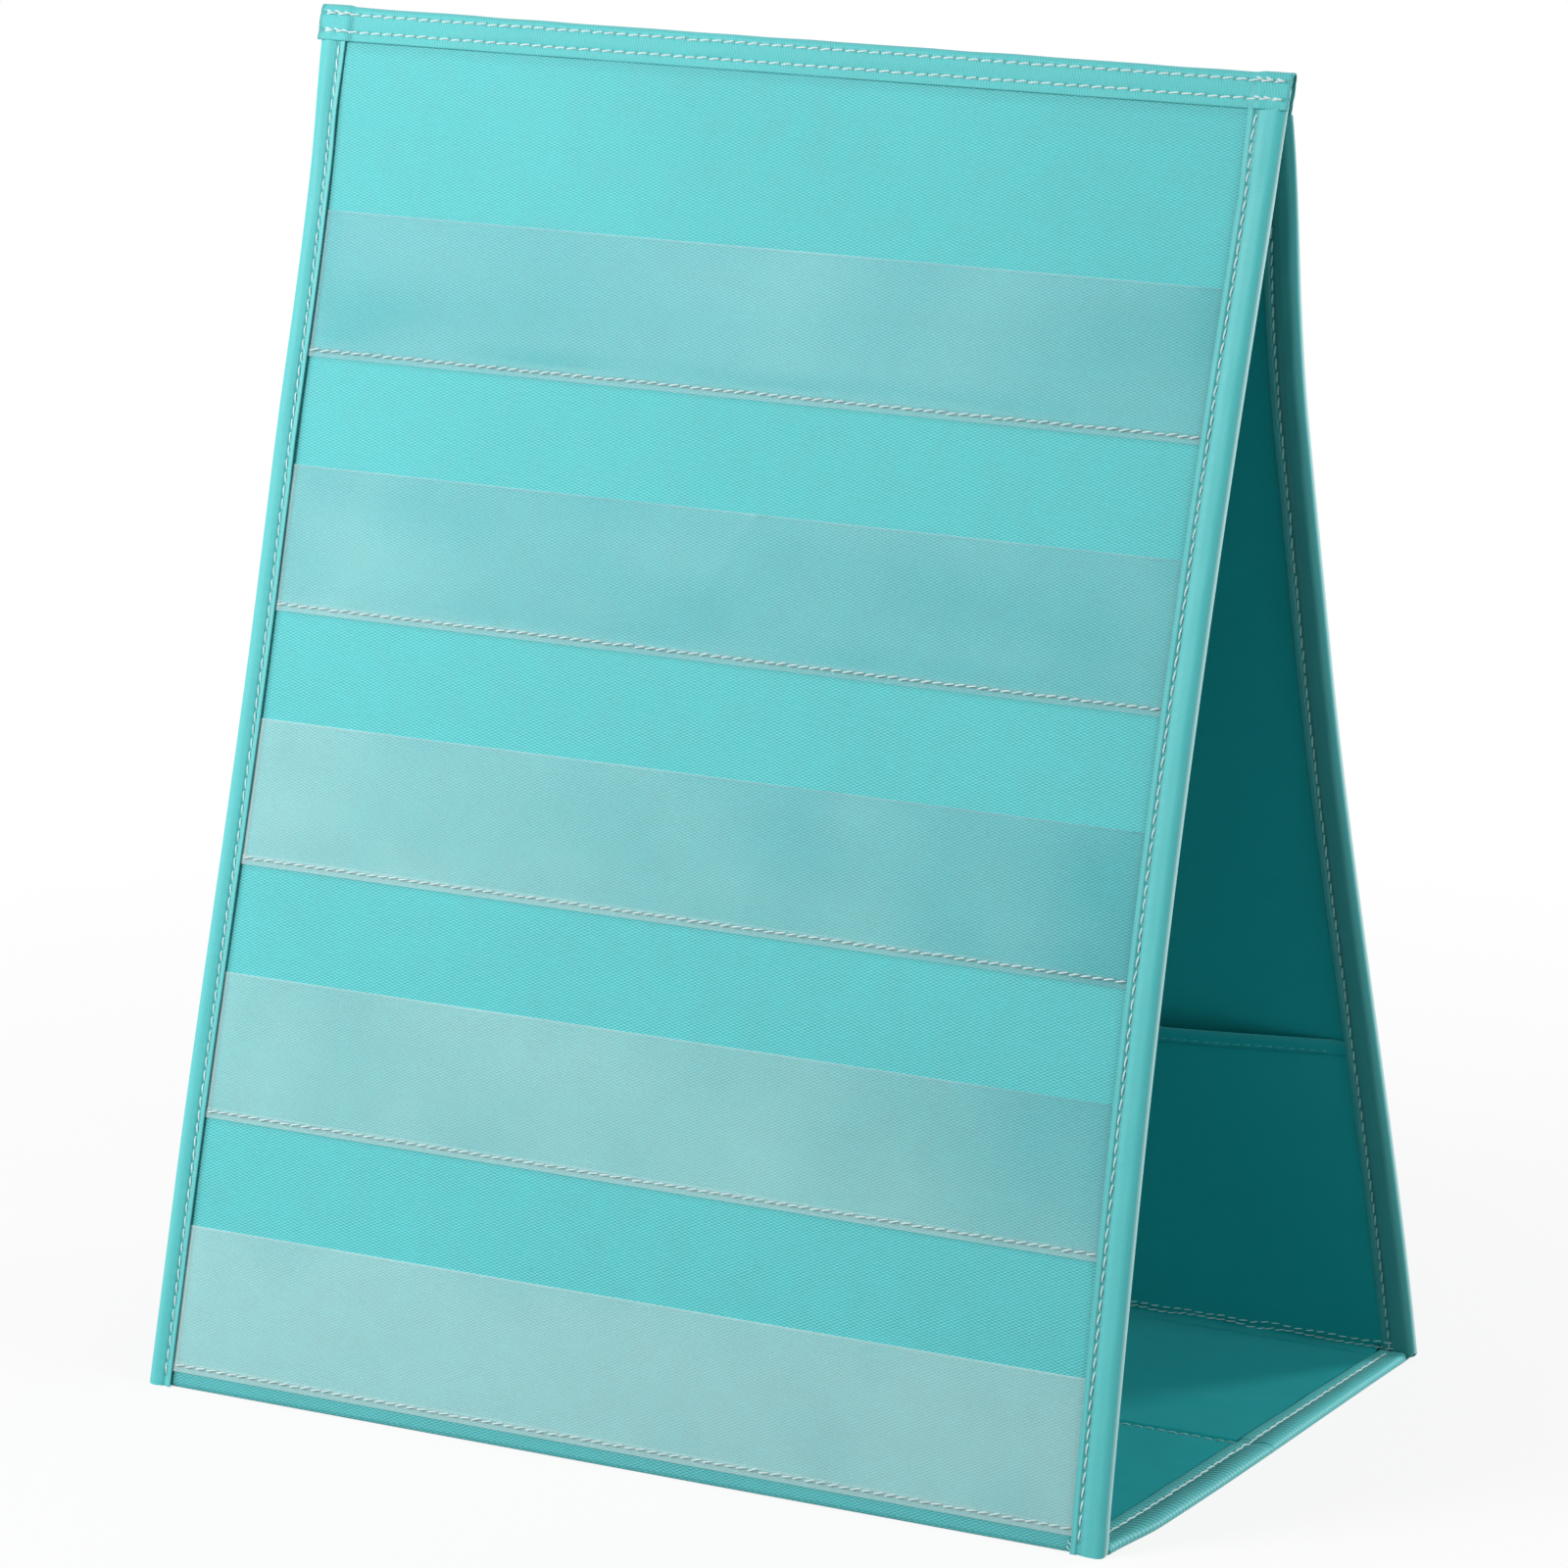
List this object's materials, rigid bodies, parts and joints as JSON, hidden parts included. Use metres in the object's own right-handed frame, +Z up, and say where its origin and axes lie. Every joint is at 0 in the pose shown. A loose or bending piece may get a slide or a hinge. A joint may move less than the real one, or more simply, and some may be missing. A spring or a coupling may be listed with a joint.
{
  "type": "pocket chart",
  "caption": "Fold-flat tabletop A-frame chart of cloth-covered boards, with rows of clear film card pockets on its faces and an inner storage pocket.",
  "frame": {"origin": "middle of the footprint, on the table that the chart stands on", "axes": "+X along the width towards the right as seen from the front, -Y the way the front panel faces, +Z up"},
  "size_m": [0.32, 0.2089, 0.4021],
  "materials": {
    "twill_fabric": "light teal polyester twill, matt with a slight sheen",
    "lining_fabric": "teal polyester lining, fine plain weave, matt",
    "binding_fabric": "light teal woven binding tape, matt",
    "clear_film": "clear flexible film, glossy with a slight haze",
    "board_core": "plain grey stiffening board, matt",
    "thread": "pale teal sewing thread, slight sheen"
  },
  "bodies": {
    "front_panel": {"front_board": "board_core", "front_face_fabric": "twill_fabric", "front_lining": "lining_fabric", "front_left_binding": "binding_fabric", "front_right_binding": "binding_fabric", "top_binding": "binding_fabric", "front_clear_pocket_1": "clear_film", "front_clear_pocket_2": "clear_film", "front_clear_pocket_3": "clear_film", "front_clear_pocket_4": "clear_film", "front_clear_pocket_5": "clear_film", "front_hinge_strip": "twill_fabric"},
    "base_front": {"base_front_board": "board_core", "base_front_top_fabric": "lining_fabric", "base_front_bottom_fabric": "twill_fabric", "base_front_left_binding": "binding_fabric", "base_front_right_binding": "binding_fabric", "mid_hinge_strip": "lining_fabric"},
    "base_rear": {"base_rear_board": "board_core", "base_rear_top_fabric": "lining_fabric", "base_rear_bottom_fabric": "twill_fabric", "base_rear_left_binding": "binding_fabric", "base_rear_right_binding": "binding_fabric"},
    "rear_panel": {"rear_board": "board_core", "rear_face_fabric": "twill_fabric", "rear_lining": "lining_fabric", "rear_left_binding": "binding_fabric", "rear_right_binding": "binding_fabric", "rear_clear_pocket_1": "clear_film", "rear_clear_pocket_2": "clear_film", "rear_clear_pocket_3": "clear_film", "rear_clear_pocket_4": "clear_film", "rear_clear_pocket_5": "clear_film", "storage_pocket": "lining_fabric", "rear_hinge_strip": "twill_fabric"}
  },
  "joints": [
    {"name": "front_base_fold", "type": "hinge", "parent": "front_panel", "child": "base_front", "pos_m": [0, -0.10006, 0.0033], "axis": [1, 0, 0], "range_deg": [0, 71.38], "deforming": ["front_hinge_strip"]},
    {"name": "base_middle_fold", "type": "hinge", "parent": "base_front", "child": "base_rear", "pos_m": [0, 0, 0], "axis": [1, 0, 0], "range_deg": [-166.06, 0], "deforming": ["mid_hinge_strip"]},
    {"name": "rear_base_fold", "type": "hinge", "parent": "base_rear", "child": "rear_panel", "pos_m": [0, 0.10007, 0.0033], "axis": [1, 0, 0], "range_deg": [0, 70.08], "deforming": ["rear_hinge_strip"]}
  ],
  "couplings": [
    {"joint": "base_middle_fold", "follows": "front_base_fold", "ratio": -2.3263},
    {"joint": "rear_base_fold", "follows": "front_base_fold", "ratio": 0.98171}
  ]
}
